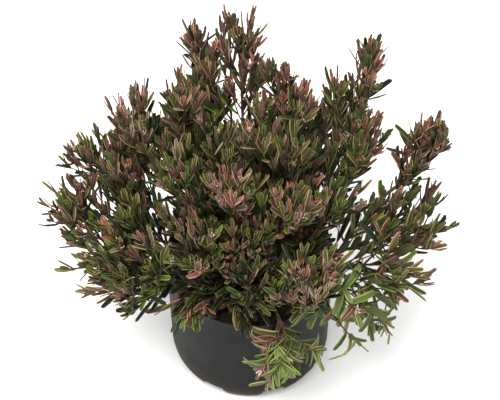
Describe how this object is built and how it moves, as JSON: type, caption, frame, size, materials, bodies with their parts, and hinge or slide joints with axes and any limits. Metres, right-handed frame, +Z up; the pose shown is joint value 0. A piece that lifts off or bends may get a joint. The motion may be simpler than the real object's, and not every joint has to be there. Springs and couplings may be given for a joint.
{
  "type": "potted bog rosemary shrub",
  "caption": "Low evergreen shrub with narrow leathery leaves on many thin stems, rooted in a plain round nursery pot that stands on its flat underside.",
  "frame": {"origin": "middle of the pot's flat underside", "axes": "+Z up, -Y towards the front of the plant as pictured, +X to its right"},
  "size_m": [0.4136, 0.3119, 0.3472],
  "materials": {
    "pot_plastic": "satin, lightly scuffed",
    "peat": "rough, moist",
    "bark": "rough, thin and flaking",
    "young_twig": "smooth",
    "leaf_dusty_red": "waxy, with a pale bloom",
    "leaf_rust": "waxy satin",
    "leaf_mauve": "waxy, with a pale bloom",
    "leaf_bronze": "waxy satin",
    "leaf_olive": "waxy satin",
    "leaf_dark_green": "waxy satin",
    "leaf_mid_green": "waxy satin",
    "leaf_fresh_green": "waxy satin",
    "leaf_margin_green": "satin",
    "leaf_margin_pink": "satin",
    "leaf_underside_green": "matte, chalky",
    "leaf_underside_pink": "matte, chalky",
    "flower_bud": "waxy"
  },
  "bodies": {
    "root": {"pot": "pot_plastic", "potting_soil": "peat", "main_stem": "bark", "bough_back_spire": "bark", "foliage_back_spire": "leaf_dusty_red", "bough_back_crest": "bark", "foliage_back_crest": "leaf_dusty_red", "bough_upper_back_right": "bark", "foliage_upper_back_right": "leaf_dusty_red", "bough_right_spire": "bark", "foliage_right_spire": "leaf_bronze", "bough_right_shoulder": "bark", "foliage_right_shoulder": "leaf_bronze", "bough_far_right": "bark", "foliage_far_right": "leaf_olive", "bough_right_side": "bark", "foliage_right_side": "leaf_mid_green", "bough_right_skirt": "bark", "foliage_right_skirt": "leaf_fresh_green", "bough_right_skirt_low": "bark", "foliage_right_skirt_low": "leaf_fresh_green", "bough_upper_back_left": "bark", "foliage_upper_back_left": "leaf_bronze", "bough_left_shoulder": "bark", "foliage_left_shoulder": "leaf_bronze", "bough_left_crest": "bark", "foliage_left_crest": "leaf_olive", "bough_far_left": "bark", "foliage_far_left": "leaf_olive", "bough_left_side": "bark", "foliage_left_side": "leaf_mid_green", "bough_left_skirt": "bark", "foliage_left_skirt": "leaf_mid_green", "bough_front_skirt": "bark", "foliage_front_skirt": "leaf_fresh_green", "bough_front_right_low": "bark", "foliage_front_right_low": "leaf_bronze", "bough_back_low_right": "bark", "foliage_back_low_right": "leaf_mid_green", "bough_back_skirt": "bark", "foliage_back_skirt": "leaf_mid_green", "bough_back_low_left": "bark", "foliage_back_low_left": "leaf_mid_green", "foliage_summit": "leaf_dusty_red", "foliage_inner_right": "leaf_bronze", "foliage_inner_back_left": "leaf_bronze", "foliage_left_middle": "leaf_bronze", "foliage_left_heart": "leaf_dark_green", "foliage_front_left": "leaf_olive", "foliage_front_crest": "leaf_dusty_red", "foliage_front_heart": "leaf_olive", "foliage_front_middle": "leaf_mid_green", "foliage_front_right": "leaf_bronze", "foliage_right_heart": "leaf_dark_green", "foliage_right_middle": "leaf_olive", "foliage_back_heart_right": "leaf_dark_green", "foliage_back_heart": "leaf_dark_green", "foliage_back_heart_left": "leaf_dark_green", "foliage_front_left_low": "leaf_mid_green", "foliage_front_low": "leaf_mid_green"}
  },
  "joints": []
}
